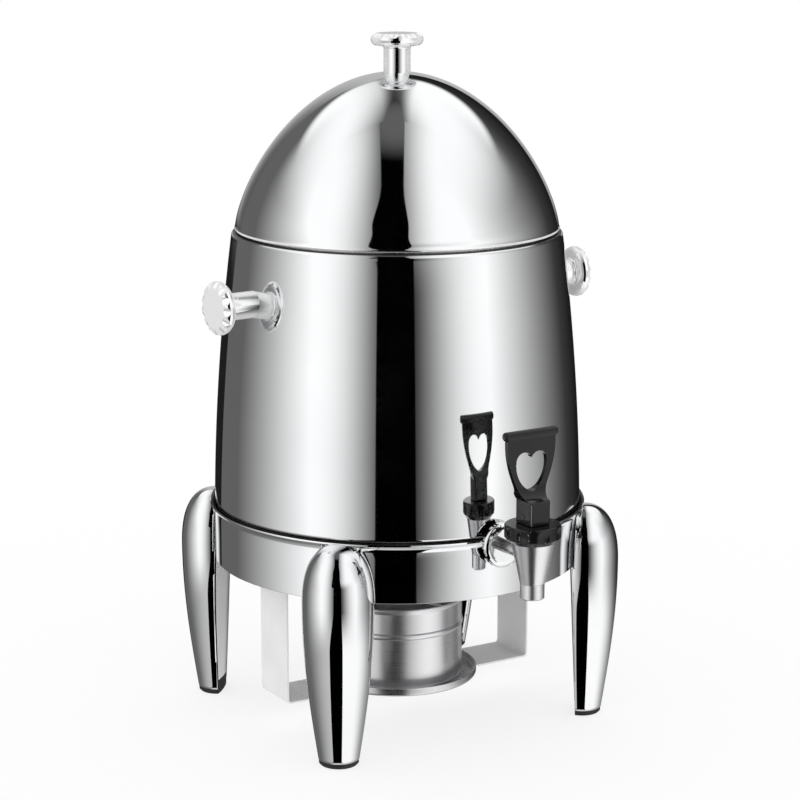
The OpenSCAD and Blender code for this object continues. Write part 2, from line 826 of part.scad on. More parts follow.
module tap_body() {
    groove_z = outlet_top_z;
    shank_end = skirt_in_r - tap_gasket_t - locknut_h - shank_tail;
    color("silver") difference() {
        union() {
            at_tap() rotate_extrude() polygon([
                [0, outlet_z], [outlet_r - outlet_chamfer, outlet_z], [outlet_r, outlet_z + outlet_chamfer],
                [outlet_r, groove_z - outlet_groove], [outlet_r - outlet_groove, groove_z],
                [outlet_r + cone_foot_step, groove_z + outlet_groove],
                [cone_r, cone_top_z], [neck_thread_r, cone_top_z],
                [neck_thread_r, cone_top_z + neck_thread_h], [0, cone_top_z + neck_thread_h]
            ]);
            outward(0, tap_z) rod(shank_r, shank_end, -tap_y);
        }
        at_tap() {
            rod(chamber_r, seat_z_tap, cone_top_z + neck_thread_h + over);
            rod(outlet_bore_r, outlet_z - over, seat_z_tap + over);
        }
        outward(0, tap_z) rod(shank_bore_r, shank_end - over, -tap_y);
    }
}

module tap_collar() {
    back = -flange_back_y;
    front = back + flange_t + flange_dome;
    color("gainsboro") difference() {
        outward(0, tap_z) rotate_extrude() polygon(concat(
            [[0, collar_back_r], [boss_r, collar_back_r], [boss_r, back],
             [flange_r, back], [flange_r, back + flange_t]],
            [for (i = [1:ARC_STEPS]) let (a = 90*i/ARC_STEPS)
                [flange_r - (flange_r - flange_face_r)*(1 - cos(a)), back + flange_t + flange_dome*sin(a)]],
            [[0, front]]
        ));
        outward(0, tap_z) rod(shank_r + shank_clear, skirt_r, front + over);
    }
}

module tap_outer_gasket() {
    color("dimgray") difference() {
        outward(0, tap_z) rod(boss_r, floor_step_r, collar_back_r);
        vessel_core();
        outward(0, tap_z) rod(shank_r + shank_clear, floor_step_r - over, collar_back_r + over);
    }
}

module tap_inner_gasket() {
    color("dimgray") difference() {
        intersection() {
            outward(0, tap_z) rod(boss_r, skirt_in_r - tap_gasket_t, skirt_r);
            rod(skirt_in_r, ledge_z, lip_z + band_h, $fn = WALL_FN);
        }
        outward(0, tap_z) rod(shank_r + shank_clear, floor_step_r, skirt_r + over);
    }
}

module tap_locknut() {
    color("gray") outward(0, tap_z) difference() {
        translate([0, 0, skirt_in_r - tap_gasket_t - locknut_h])
            cylinder(r = locknut_r, h = locknut_h, $fn = 6);
        rod(shank_r + shank_clear, floor_step_r - over, skirt_in_r);
    }
}

module tap_bonnet() {
    z0 = cone_top_z;
    z1 = bonnet_top_z;
    reach = bonnet_r - scoop_depth;
    color("black") at_tap() difference() {
        rotate_extrude() polygon(concat(
            [[0, z0], [bonnet_foot_r, z0]],
            [[bonnet_r, z0 + bonnet_chamfer]],
            arc_points([bonnet_r - bonnet_round, z1 - bonnet_round], bonnet_round, 0, 90),
            [[0, z1]]
        ));
        rod(neck_thread_r + bonnet_clear, z0 - over, z1 - bonnet_roof);
        rod(stem_r + stem_clear, z0, z1 + over);
        for (i = [0:scoops - 1])
            rotate([0, 0, 360*i/scoops - scoop_turn])
                translate([0, -reach, (z0 + z1)/2]) scoop_cutter();
    }
}

// A barrel-shaped cutter whose belly makes one scoop in the bonnet's side
module scoop_cutter() {
    belly = bonnet_h;
    translate([0, -belly, 0]) rotate([0, 0, 0])
        rotate_extrude() intersection() {
            translate([belly - bonnet_h, 0]) circle(r = belly);
            translate([0, -bonnet_h]) square([belly, 2*bonnet_h]);
        }
}

// One ring of the spring's wire at angle a along the coil
function spring_ring(a, z0, pitch) =
    [for (k = [0:WIRE_SIDES - 1]) let (b = 360*k/WIRE_SIDES, r = spring_r + wire_r*cos(b))
        [r*cos(a), r*sin(a), z0 + pitch*a/360 + wire_r*sin(b)]];

module tap_spring() {
    z0 = seat_z_tap + cup_body_h + stem_flange_h + wire_r;
    z1 = bonnet_top_z - bonnet_roof - wire_r;
    pitch = (z1 - z0)/spring_turns;
    rings = spring_turns*SPRING_RINGS;
    points = [for (i = [0:rings]) each spring_ring(360*i/SPRING_RINGS, z0, pitch)];
    sides = [for (i = [0:rings - 1], k = [0:WIRE_SIDES - 1])
        let (a = i*WIRE_SIDES + k, b = i*WIRE_SIDES + (k + 1)%WIRE_SIDES)
        each [[a, b, b + WIRE_SIDES], [a, b + WIRE_SIDES, a + WIRE_SIDES]]];
    first = [for (k = [WIRE_SIDES - 1:-1:0]) k];
    last = [for (k = [0:WIRE_SIDES - 1]) rings*WIRE_SIDES + k];
    color("gray") at_tap() polyhedron(points, concat(sides, [first, last]), convexity = spring_turns);
}

module tap_seat_cup() {
    color("white") at_tap() difference() {
        rotate_extrude() polygon([
            [0, seat_z_tap], [cup_seal_r, seat_z_tap], [cup_seal_r, seat_z_tap + cup_seal_h],
            [cup_body_r, seat_z_tap + cup_seal_h + cup_lip_r], [cup_body_r, seat_z_tap + cup_body_h],
            [0, seat_z_tap + cup_body_h]
        ]);
        rod(stem_r, seat_z_tap + cup_seal_h, seat_z_tap + cup_body_h + over);
    }
}

module tap_stem() {
    pin_z = lever_z + pin_rise;
    slot_half = pin_r + slot_clear;
    eye_front = pin_travel + slot_half + eye_wall;
    eye_back = slot_half + eye_wall;
    eye_half_h = slot_half + eye_wall;
    flange_z = seat_z_tap + cup_body_h;
    color("silver") at_tap() difference() {
        union() {
            rod(stem_r, seat_z_tap + cup_seal_h, pin_z);
            rod(stem_flange_r, flange_z, flange_z + stem_flange_h);
            translate([-eye_w/2, -eye_front, pin_z - eye_half_h])
                cube([eye_w, eye_front + eye_back, 2*eye_half_h]);
        }
        translate([0, 0, pin_z]) rotate([0, 90, 0]) {
            cylinder(r = slot_half, h = eye_w + 2*over, center = true);
            translate([0, -pin_travel, 0]) cylinder(r = slot_half, h = eye_w + 2*over, center = true);
            translate([0, -pin_travel/2, 0]) cube([2*slot_half, pin_travel, eye_w + 2*over], center = true);
        }
    }
}

// Half of the lever's width at a height above its foot
function lever_half(h) =
    h <= neck_h
        ? neck_w/2
        : neck_w/2 + (blade_w - neck_w)/2*sin(90*min(1, (h - neck_h)/blade_flare_h));

module lever_front_view() {
    side = [for (i = [0:CURVE_STEPS]) let (h = neck_h + blade_flare_h*i/CURVE_STEPS) [lever_half(h), h]];
    half = concat([[neck_w/2, 0]], side, [[blade_w/2, lever_h]]);
    difference() {
        polygon(concat(half, reversed([for (p = half) [-p[0], p[1]]])));
        translate([0, lever_h - heart_drop]) heart();
    }
}

// A heart with its lobes' centres on the X axis
module heart() {
    lobe = [heart_lobe_x, 0];
    tip = [0, -heart_h];
    run = norm(tip - lobe);
    ahead = (tip - lobe)/run;
    to_lobe = heart_side_r - heart_lobe_r;
    to_tip = heart_side_r - heart_tip_r;
    along = (to_lobe*to_lobe - to_tip*to_tip + run*run)/(2*run);
    middle = lobe + along*ahead + sqrt(to_lobe*to_lobe - along*along)*[ahead[1], -ahead[0]];
    low = atan2(tip[1] - middle[1], tip[0] - middle[0]);
    high = atan2(lobe[1] - middle[1], lobe[0] - middle[0]);
    dip = acos(heart_lobe_x/heart_lobe_r);
    right = concat(
        arc_points(tip, heart_tip_r, -90, low),
        arc_points(middle, heart_side_r, low, high),
        arc_points(lobe, heart_lobe_r, high, 180 - dip)
    );
    polygon(concat(right, reversed([for (p = right) [-p[0], p[1]]])));
}

// The lever seen from its side, with its front towards -X here
module lever_side_view() {
    front = -neck_d/2;
    back = neck_d/2;
    blade_back = blade_set + blade_t;
    sweep_z = neck_h + sweep_r;
    back_sweep_z = neck_h + back_sweep_r + blade_t/2;
    difference() {
        translate([front, 0]) square([neck_d, lever_h]);
        translate([blade_set - sweep_r, sweep_z]) circle(r = sweep_r);
        translate([front - over, sweep_z]) square([neck_d/2 + blade_set + over, lever_h]);
        translate([blade_back + back_sweep_r, back_sweep_z]) circle(r = back_sweep_r);
        translate([blade_back, back_sweep_z]) square([neck_d, lever_h]);
    }
}

module tap_lever() {
    pin_z = pin_rise;
    pocket_w = eye_w + 2*pocket_side;
    color("black") translate([0, tap_y, lever_z]) difference() {
        union() {
            intersection() {
                rotate([90, 0, 0]) linear_extrude(2*neck_d, center = true) lever_front_view();
                rotate([90, 0, 90]) linear_extrude(2*blade_w, center = true) lever_side_view();
            }
            translate([0, blade_set + blade_t/2, lever_h]) rotate([0, 90, 0]) lever_bar();
        }
        translate([-pocket_w/2, -pocket_front(), -over])
            cube([pocket_w, pocket_front() + pocket_back(), over + pocket_top()]);
        translate([0, 0, pin_z]) rotate([0, 90, 0])
            cylinder(r = pin_r + pin_clear, h = neck_w + 2*over, center = true);
        for (sx = [-1, 1], sy = [-1, 1])
            translate([sx*neck_w/2, sy*neck_d/2, -over]) neck_corner_cut();
    }
}

// A square bar stood on its corner, which chamfers one upright corner of the neck
module neck_corner_cut() {
    side = neck_edge*sqrt(2);
    rotate([0, 0, 45]) translate([-side/2, -side/2, 0]) cube([side, side, neck_h + over]);
}

// Room that the stem's eye needs in the lever as the lever rocks on the front of its foot
function eye_front_reach() = pin_travel + pin_r + slot_clear + eye_wall;
function eye_back_reach() = pin_r + slot_clear + eye_wall;
function eye_lift() = (neck_d/2)*sin(lever_swing) - pin_rise*(1 - cos(lever_swing));
function pocket_front() = eye_front_reach() + pocket_gap;
function pocket_back() =
    let (dy = neck_d/2 + eye_back_reach(), dz = pin_rise + eye_back_reach() + eye_lift())
    dy*cos(lever_swing) + dz*sin(lever_swing) - neck_d/2 + pocket_gap;
function pocket_top() =
    let (dy = neck_d/2 - eye_front_reach(), dz = pin_rise + eye_back_reach() + eye_lift())
    dz*cos(lever_swing) - dy*sin(lever_swing) + pocket_gap;

module lever_bar() {
    half = bar_l/2;
    rotate_extrude() polygon(concat(
        [[0, -half]],
        arc_points([bar_r - bar_end, bar_end - half], bar_end, -90, 0),
        arc_points([bar_r - bar_end, half - bar_end], bar_end, 0, 90),
        [[0, half]]
    ));
}

module lever_pin() {
    color("gray") translate([0, tap_y, lever_z + pin_rise]) rotate([0, 90, 0])
        cylinder(r = pin_r, h = neck_w, center = true);
}

stand_band();
support_ledge();
leg(LEG_TURNS[0]);  // leg_front_left
leg(LEG_TURNS[1]);  // leg_front_right
leg(LEG_TURNS[2]);  // leg_back_left
leg(LEG_TURNS[3]);  // leg_back_right
leg_plate(LEG_TURNS[0]);  // leg_plate_front_left
leg_plate(LEG_TURNS[1]);  // leg_plate_front_right
leg_plate(LEG_TURNS[2]);  // leg_plate_back_left
leg_plate(LEG_TURNS[3]);  // leg_plate_back_right
foot(LEG_TURNS[0]);  // foot_front_left
foot(LEG_TURNS[1]);  // foot_front_right
foot(LEG_TURNS[2]);  // foot_back_left
foot(LEG_TURNS[3]);  // foot_back_right
leg_bolts();
burner_bracket();
bracket_screws();
burner_tray();
tray_rivets();
fuel_cup();
vessel_shell();
vessel_floor();
handle(-handle_angle);  // handle_left
handle(handle_angle);  // handle_right
handle_screws();
handle_gaskets();
handle_washers();
lid_dome();
lid_collar();
lid_knob();
lid_knob_screw();
lid_knob_washer();
tap_body();
tap_collar();
tap_outer_gasket();
tap_inner_gasket();
tap_locknut();
tap_bonnet();
tap_spring();
tap_stem();
tap_seat_cup();
tap_lever();
lever_pin();
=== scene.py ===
"""Looks of a domed drink dispenser urn in polished steel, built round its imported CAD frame."""

import math

import bmesh
import bpy
from mathutils import Matrix


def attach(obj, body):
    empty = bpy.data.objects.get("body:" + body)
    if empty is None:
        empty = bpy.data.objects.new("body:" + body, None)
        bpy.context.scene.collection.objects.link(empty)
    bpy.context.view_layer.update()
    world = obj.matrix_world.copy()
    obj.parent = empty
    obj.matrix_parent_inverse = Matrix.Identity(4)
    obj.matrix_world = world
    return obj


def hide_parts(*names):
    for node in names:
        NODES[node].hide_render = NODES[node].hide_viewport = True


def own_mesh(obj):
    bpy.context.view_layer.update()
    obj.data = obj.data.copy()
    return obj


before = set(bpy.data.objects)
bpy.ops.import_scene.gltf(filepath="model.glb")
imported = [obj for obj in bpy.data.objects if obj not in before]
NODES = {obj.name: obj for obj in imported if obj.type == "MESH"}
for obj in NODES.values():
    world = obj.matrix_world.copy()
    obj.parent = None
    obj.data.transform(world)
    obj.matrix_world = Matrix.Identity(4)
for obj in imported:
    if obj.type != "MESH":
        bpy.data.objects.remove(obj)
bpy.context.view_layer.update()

MM = 0.001

# Camera, fitted to the photograph's view: how far from the urn's axis, how far to its right and how high
# it stands, its turn and its tilt, its lens and sensor in mm, and its reach in metres
CAMERA_FAR, CAMERA_ASIDE, CAMERA_HIGH = 1945.309, 2.376, 689.95
CAMERA_TURN, CAMERA_DOWN = math.radians(31.52), math.radians(12.47)
CAMERA_LENS, CAMERA_SENSOR, CAMERA_REACH = 108.608, 36.0, 50.0

# Studio: its ways to the right, back towards the camera and up, how bright it is, how far the panels'
# edges move where they pass behind, how soft the dark gap's edge is, and the floor in metres
STUDIO_RIGHT = (math.cos(CAMERA_TURN), -math.sin(CAMERA_TURN), 0.0)
STUDIO_BACK = (-math.sin(CAMERA_TURN), -math.cos(CAMERA_TURN), 0.0)
STUDIO_UP = (0.0, 0.0, 1.0)
STUDIO_LEVEL, PANEL_TURN, GAP_SOFT = 1.12, 0.43, 0.012
FLOOR_HALF, FLOOR_GLOW, FLOOR_MATT = 6.0, 0.78, 0.22

# Stand: lengths in mm, turns in degrees
SHEET = 1.2
BAND_R, BAND_Z, FLARE_R, FLARE_TURN, FLARE_Z = 151.6, 131.0, 6.3, 66.0, 171.9
BAND_BEVEL, FLARE_ROOM, LEDGE_Z = 0.3, 6.0, 160.0
NOTCH_R, NOTCH_Z, NOTCH_TOP, NOTCH_DEPTH = 10.1, 174.0, 190.0, 20.0
LEG_TURN = 48.5
LEGS = {
    "leg_front_left": -LEG_TURN, "leg_front_right": LEG_TURN,
    "leg_back_left": LEG_TURN - 180.0, "leg_back_right": 180.0 - LEG_TURN,
}
LEG_AXIS_R, LEG_R, LEG_FOOT_R, LEG_BELLY_Z, LEG_TOP_Z = 156.5, 28.3, 15.6, 130.0, 178.4
LEG_TOP_SHARE, LEG_WALL, FOOT_H, LIP_CUT_R, LIP_CUT_Z = 2.4, 2.2, 4.6, 155.7, 171.5
LEG_STEP_Z, LEG_CROWN_R, LEG_BACK_LEAN = 130.6, 90.0, 6.0
LEG_BACK_TILT = math.atan(LEG_BACK_LEAN / BAND_Z)

# Vessel, lid and tap: lengths in mm, turns in degrees
SKIRT_R, SKIRT_TOP = 149.6, 178.7
BARREL_FOOT_R, BARREL_FOOT_Z, BARREL_TOP_R, BARREL_TOP_Z = 151.3, 180.4, 134.7, 398.8
BARREL_BULGE, BARREL_ROLL, MOUTH_R, MOUTH_LIP, MOUTH_ROUND = 3.1, 3.0, 125.0, 5.0, 0.6
BARREL_FOOT_STEPS = ((0.7, 0.75), (0.2, 0.45))
DOME_R, DOME_H, DOME_SHARE, DOME_Z, DOME_RIM_Z = 131.6, 125.4, 1.457, 404.2, 403.4
DOME_RIM_H, DOME_RIM_PROUD, DOME_RIM_IN, DOME_T, SEAT_R, BEAD_END = 2.4, 0.5, 0.8, 1.0, 12.0, 50.0

# Where the painted shade (the dark inner steel) starts, in mm from an edge
BAND_SKIN, SKIRT_SKIN, MOUTH_SKIN = 0.4, 0.8, 2.2

# Fineness of the meshes, with lengths in mm
RING, FLARE_ROWS, NOTCH_ROWS, ROLL_ROWS, ROLL_INNER_ROWS, LIP_ROWS = 288, 16, 48, 12, 8, 4
BARREL_ROWS, DOME_ROWS, BEAD_ROWS, FLOOR_CELLS = 110, 130, 14, 8
LEG_ACROSS, LEG_ROWS_BELOW, LEG_ROWS_ABOVE, LEG_HALVINGS, LEG_STEP_GAP = 120, 60, 48, 40, 0.01
SHARP_ANGLE = math.radians(35.0)
MOULD_GRAIN, MOULD_ROUNDING, MOULD_STRENGTH = 0.35, 6, 0.5
TINY = 1e-6

# Between these values of the noise a material's colour and roughness change
NOISE_LOW, NOISE_HIGH = 0.3, 0.7


# Small helpers

def add_object(name, data):
    made = bpy.data.objects.new(name, data)
    bpy.context.scene.collection.objects.link(made)
    return made


def arc(centre, radius, start, end, steps):
    """Points of an arc from one angle to another, in degrees."""
    turns = [math.radians(start + (end - start) * i / steps) for i in range(steps + 1)]
    return [(centre[0] + radius * math.cos(a), centre[1] + radius * math.sin(a)) for a in turns]


def add_face(bm, corners):
    """Adds a face through the corners that differ, if at least three do."""
    corners = list(dict.fromkeys(corners))
    if len(corners) > 2:
        bm.faces.new(corners)


def shade(mesh):
    mesh.shade_smooth()
    mesh.set_sharp_from_angle(angle=SHARP_ANGLE)


def finish_mesh(bm, name, body, node):
    """Turns a bmesh into a polished piece that rides on a body and stands for a CAD node."""
    bmesh.ops.recalc_face_normals(bm, faces=bm.faces)
    mesh = bpy.data.meshes.new(name)
    bm.to_mesh(mesh)
    bm.free()
    shade(mesh)
    piece = add_object(name, mesh)
    mesh.materials.append(MATERIALS["polished_steel"])
    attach(piece, body)
    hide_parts(node)
    return piece


def lathe(name, outline, body, node):
    """A piece made of a closed outline of (radius, height) in mm, turned round +Z."""
    bm = bmesh.new()
    turns = [2 * math.pi * i / RING for i in range(RING)]
    rows = []
    for radius, height in outline:
        if radius < TINY:
            rows.append([bm.verts.new((0.0, 0.0, height * MM))] * RING)
            continue
        rows.append([
            bm.verts.new((radius * MM * math.cos(a), radius * MM * math.sin(a), height * MM)) for a in turns
        ])
    for low, high in zip(rows, rows[1:] + rows[:1]):
        for i in range(RING):
            j = (i + 1) % RING
            add_face(bm, (low[i], low[j], high[j], high[i]))
    return finish_mesh(bm, name, body, node)


def finish_faces(piece, finish, is_picked):
    """Gives another finish to the faces that a rule picks by radius, height and outward and upward normal."""
    piece.data.materials.append(MATERIALS[finish])
    number = len(piece.data.materials) - 1
    for face in piece.data.polygons:
        centre, normal = face.center, face.normal
        radius = math.hypot(centre.x, centre.y)
        outwards = (centre.x * normal.x + centre.y * normal.y) / max(radius, TINY * MM)
        if is_picked(radius / MM, centre.z / MM, outwards, normal.z):
            face.material_index = number


# Shader helpers

def add_node(tree, kind, **settings):
    node = tree.nodes.new(kind)
    for key, value in settings.items():
        setattr(node, key, value)
    return node


def mixed_shader(tree, share, first, second):
    """The first shader where the share is 0, and the second where it is 1."""
    node = add_node(tree, "ShaderNodeMixShader")
    for plug, socket in zip(node.inputs, (share, first, second)):
        tree.links.new(socket, plug)
    return node.outputs["Shader"]


class Wire:
    """A number carried by a shader socket, with sums and products made of math nodes."""

    def __init__(self, tree, socket):
        self.tree, self.socket = tree, socket

    def made(self, operation, *others):
        """What a math node makes of this and other numbers or wires."""
        node = add_node(self.tree, "ShaderNodeMath", operation=operation)
        for plug, value in zip(node.inputs, (self,) + others):
            if isinstance(value, Wire):
                self.tree.links.new(value.socket, plug)
            else:
                plug.default_value = value
        return Wire(self.tree, node.outputs["Value"])

    def __add__(self, other):
        return self.made("ADD", other)

    def __sub__(self, other):
        return self.made("SUBTRACT", other)

    def __mul__(self, other):
        return self.made("MULTIPLY", other)

    def __truediv__(self, other):
        return self.made("DIVIDE", other)

    def __neg__(self):
        return self * -1.0

    def flipped(self):
        """1 where this is 0, and 0 where it is 1."""
        return self * -1.0 + 1.0

    def unsigned(self):
        return self.made("ABSOLUTE")

    def above(self, other):
        """1 where this is the larger, else 0."""
        return self.made("GREATER_THAN", other)

    def least(self, other):
        """This, but at least the other."""
        return self.made("MAXIMUM", other)

    def most(self, other):
        """This, but at most the other."""
        return self.made("MINIMUM", other)

    def rise(self, start, end):
        """Goes smoothly from 0 at start to 1 at end."""
        node = add_node(self.tree, "ShaderNodeMapRange", interpolation_type="SMOOTHSTEP")
        node.inputs["From Min"].default_value = start
        node.inputs["From Max"].default_value = end
        self.tree.links.new(self.socket, node.inputs["Value"])
        return Wire(self.tree, node.outputs["Result"])

    def between(self, low, high):
        """Low where this is 0, high where it is 1."""
        return (high - low) * self + low


def constant(tree, value):
    node = add_node(tree, "ShaderNodeValue")
    node.outputs[0].default_value = value
    return Wire(tree, node.outputs[0])


class Finish:
    """A Principled material whose colour, roughness and relief follow noise in object space."""

    def __init__(self, name, **settings):
        self.material = bpy.data.materials.new(name)
        self.material.use_nodes = True
        self.tree = self.material.node_tree
        self.shader = self.tree.nodes["Principled BSDF"]
        for key, value in settings.items():
            self.shader.inputs[key].default_value = value

    def noise(self, scale, detail, stretch=(1.0, 1.0, 1.0)):
        """Noise, drawn out along the axes where its stretch is small."""
        place = add_node(self.tree, "ShaderNodeTexCoord")
        mapping = add_node(self.tree, "ShaderNodeMapping")
        mapping.inputs["Scale"].default_value = stretch
        texture = add_node(self.tree, "ShaderNodeTexNoise")
        texture.inputs["Scale"].default_value = scale
        texture.inputs["Detail"].default_value = detail
        self.tree.links.new(place.outputs["Object"], mapping.inputs["Vector"])
        self.tree.links.new(mapping.outputs["Vector"], texture.inputs["Vector"])
        return texture.outputs["Fac"]

    def tones(self, noise, dark, light):
        """A colour that goes from dark to light with the noise."""
        ramp = add_node(self.tree, "ShaderNodeValToRGB")
        low, high = ramp.color_ramp.elements
        low.position, low.color = NOISE_LOW, (*dark, 1.0)
        high.position, high.color = NOISE_HIGH, (*light, 1.0)
        self.tree.links.new(noise, ramp.inputs["Fac"])
        return ramp.outputs["Color"]

    def colour(self, noise, dark, light):
        self.tree.links.new(self.tones(noise, dark, light), self.shader.inputs["Base Color"])

    def roughness(self, noise, low, high):
        node = add_node(self.tree, "ShaderNodeMapRange")
        node.inputs["From Min"].default_value = NOISE_LOW
        node.inputs["From Max"].default_value = NOISE_HIGH
        node.inputs["To Min"].default_value = low
        node.inputs["To Max"].default_value = high
        self.tree.links.new(noise, node.inputs["Value"])
        self.tree.links.new(node.outputs["Result"], self.shader.inputs["Roughness"])

    def relief(self, noise, depth):
        """Bumps of a depth in mm."""
        node = add_node(self.tree, "ShaderNodeBump")
        node.inputs["Strength"].default_value = 1.0
        node.inputs["Distance"].default_value = depth * MM
        self.tree.links.new(noise, node.inputs["Height"])
        self.tree.links.new(node.outputs["Normal"], self.shader.inputs["Normal"])

    def surface(self, shader):
        self.tree.links.new(shader, self.tree.nodes["Material Output"].inputs["Surface"])


# Materials

def polished_steel():
    finish = Finish("polished_steel", Metallic=1.0)
    finish.colour(finish.noise(scale=9.0, detail=3.0), dark=(0.84, 0.845, 0.855), light=(0.89, 0.895, 0.90))
    finish.roughness(finish.noise(scale=24.0, detail=4.0), low=0.02, high=0.05)
    finish.relief(finish.noise(scale=14.0, detail=1.0), depth=0.012)
    return finish.material


def knob_steel():
    """Mirror polish over a pale ground that shows towards the edges."""
    finish = Finish("knob_steel", Metallic=1.0)
    cloud = finish.noise(scale=20.0, detail=3.0)
    finish.colour(cloud, dark=(0.88, 0.885, 0.89), light=(0.93, 0.93, 0.935))
    finish.roughness(cloud, low=0.02, high=0.05)
    pale = add_node(finish.tree, "ShaderNodeBsdfDiffuse")
    pale.inputs["Color"].default_value = (0.95, 0.95, 0.95, 1.0)
    pale_from, mirror_from, pale_share = (0.12, 0.42), (0.72, 0.98), 0.75
    facing = Wire(finish.tree, add_node(finish.tree, "ShaderNodeLayerWeight").outputs["Facing"])
    shown = (facing.rise(*pale_from) - facing.rise(*mirror_from)) * pale_share
    mirror = finish.shader.outputs["BSDF"]
    finish.surface(mixed_shader(finish.tree, shown.socket, mirror, pale.outputs["BSDF"]))
    return finish.material


def inner_steel():
    """Unpolished steel painted dark for the shade inside the sheet metal and under its edges."""
    finish = Finish("inner_steel", Metallic=1.0)
    cloud = finish.noise(scale=40.0, detail=3.0)
    finish.colour(cloud, dark=(0.10, 0.10, 0.10), light=(0.16, 0.16, 0.16))
    finish.roughness(cloud, low=0.35, high=0.5)
    return finish.material


def pale_steel():
    """Matt pickled sheet, which looks nearly white."""
    finish = Finish("pale_steel", Metallic=0.05)
    cloud = finish.noise(scale=30.0, detail=4.0)
    finish.colour(cloud, dark=(0.88, 0.88, 0.885), light=(0.93, 0.93, 0.935))
    finish.roughness(cloud, low=0.42, high=0.55)
    finish.relief(finish.noise(scale=260.0, detail=2.0), depth=0.004)
    return finish.material


def satin_steel():
    finish = Finish("satin_steel", Metallic=1.0)
    grain = finish.noise(scale=90.0, detail=4.0, stretch=(1.0, 0.08, 1.0))
    finish.colour(grain, dark=(0.66, 0.66, 0.67), light=(0.78, 0.78, 0.79))
    finish.roughness(grain, low=0.20, high=0.30)
    finish.relief(grain, depth=0.004)
    return finish.material


def brushed_steel():
    """Turned metal, with faint fine rings round its own vertical axis."""
    finish = Finish("brushed_steel", Metallic=1.0)
    rings = finish.noise(scale=1400.0, detail=2.0, stretch=(0.004, 0.004, 1.0))
    finish.colour(rings, dark=(0.80, 0.80, 0.81), light=(0.83, 0.83, 0.84))
    finish.roughness(rings, low=0.27, high=0.31)
    return finish.material


def fastener_steel():
    finish = Finish("fastener_steel", Metallic=1.0)
    grain = finish.noise(scale=300.0, detail=2.0)
    finish.colour(grain, dark=(0.50, 0.50, 0.50), light=(0.62, 0.62, 0.61))
    finish.roughness(grain, low=0.25, high=0.38)
    return finish.material


def black_plastic():
    """Glossy black, with a painted highlight: a lighter grey along its convex edges."""
    finish = Finish("black_plastic", IOR=1.42)
    fine = finish.noise(scale=700.0, detail=3.0)
    # Painted highlight: grey mixed into the black where the surface is convex.
    worn = add_node(finish.tree, "ShaderNodeMix", data_type="RGBA")
    worn.inputs["B"].default_value = (0.14, 0.14, 0.145, 1.0)
    body = finish.tones(finish.noise(scale=40.0, detail=3.0), (0.003, 0.003, 0.0032), (0.006, 0.006, 0.0064))
    worn_edge = (0.515, 0.60)
    shape = add_node(finish.tree, "ShaderNodeNewGeometry")
    edge = Wire(finish.tree, shape.outputs["Pointiness"]).rise(*worn_edge)
    finish.tree.links.new(edge.socket, worn.inputs["Factor"])
    finish.tree.links.new(body, worn.inputs["A"])
    finish.tree.links.new(worn.outputs["Result"], finish.shader.inputs["Base Color"])
    finish.roughness(fine, low=0.13, high=0.19)
    finish.relief(fine, depth=0.002)
    return finish.material


def black_rubber():
    finish = Finish("black_rubber")
    fine = finish.noise(scale=500.0, detail=4.0)
    finish.colour(fine, dark=(0.010, 0.010, 0.010), light=(0.020, 0.020, 0.020))
    finish.roughness(fine, low=0.55, high=0.72)
    finish.relief(fine, depth=0.02)
    return finish.material


def pale_silicone():
    finish = Finish("pale_silicone")
    fine = finish.noise(scale=250.0, detail=3.0)
    finish.colour(fine, dark=(0.66, 0.65, 0.62), light=(0.74, 0.73, 0.70))
    finish.roughness(fine, low=0.38, high=0.5)
    return finish.material


MATERIALS = {make.__name__: make() for make in (
    polished_steel, knob_steel, inner_steel, pale_steel, satin_steel, brushed_steel, fastener_steel,
    black_plastic, black_rubber, pale_silicone)}


# Stand

def inside_band(radius, z, outwards, up):
    """The band's faces painted with shade: its inner face, and what lies behind its skin and doesn't face up.
    """
    inwards, upwards = -0.3, 0.5
    return outwards < inwards or (radius < BAND_R - BAND_SKIN and up < upwards)


def stand_band():
    """The ring with its flared lip, outside and inside, and its foot."""
    inner = BAND_R - SHEET
    centre, end = (BAND_R + FLARE_R, FLARE_Z), 180.0 - FLARE_TURN
    outside = [(BAND_R, BAND_Z + BAND_BEVEL), (BAND_R, FLARE_Z - FLARE_ROOM)]
    outside += arc(centre, FLARE_R, 180.0, end, FLARE_ROWS)
    inside = arc(centre, FLARE_R + SHEET, end, 180.0, FLARE_ROWS)
    inside += [(inner, FLARE_Z - FLARE_ROOM), (inner, BAND_Z + BAND_BEVEL)]
    foot = [(inner + BAND_BEVEL, BAND_Z), (BAND_R - BAND_BEVEL, BAND_Z)]
    ring = lathe("ring_with_lip", outside + inside + foot, "stand", "stand_band")
    # The inner faces get the dark steel painted for shade.
    finish_faces(ring, "inner_steel", inside_band)
    cut_notch(ring)


def notch_cutter():
    """A block with a round foot, which crosses the ring at the front."""
    outline = arc((0.0, NOTCH_Z), NOTCH_R, 180, 360, NOTCH_ROWS)
    outline += [(NOTCH_R, NOTCH_TOP), (-NOTCH_R, NOTCH_TOP)]
    bm = bmesh.new()
    front, back = [
        [bm.verts.new((x * MM, y * MM, z * MM)) for x, z in outline]
        for y in (-BAND_R - NOTCH_DEPTH, -BAND_R + NOTCH_DEPTH)
    ]
    bm.faces.new(front)
    bm.faces.new(back)
    for i in range(len(outline)):
        bm.faces.new((front[i - 1], front[i], back[i], back[i - 1]))
    bmesh.ops.recalc_face_normals(bm, faces=bm.faces)
    mesh = bpy.data.meshes.new("notch_cutter")
    bm.to_mesh(mesh)
    bm.free()
    return add_object("notch_cutter", mesh)


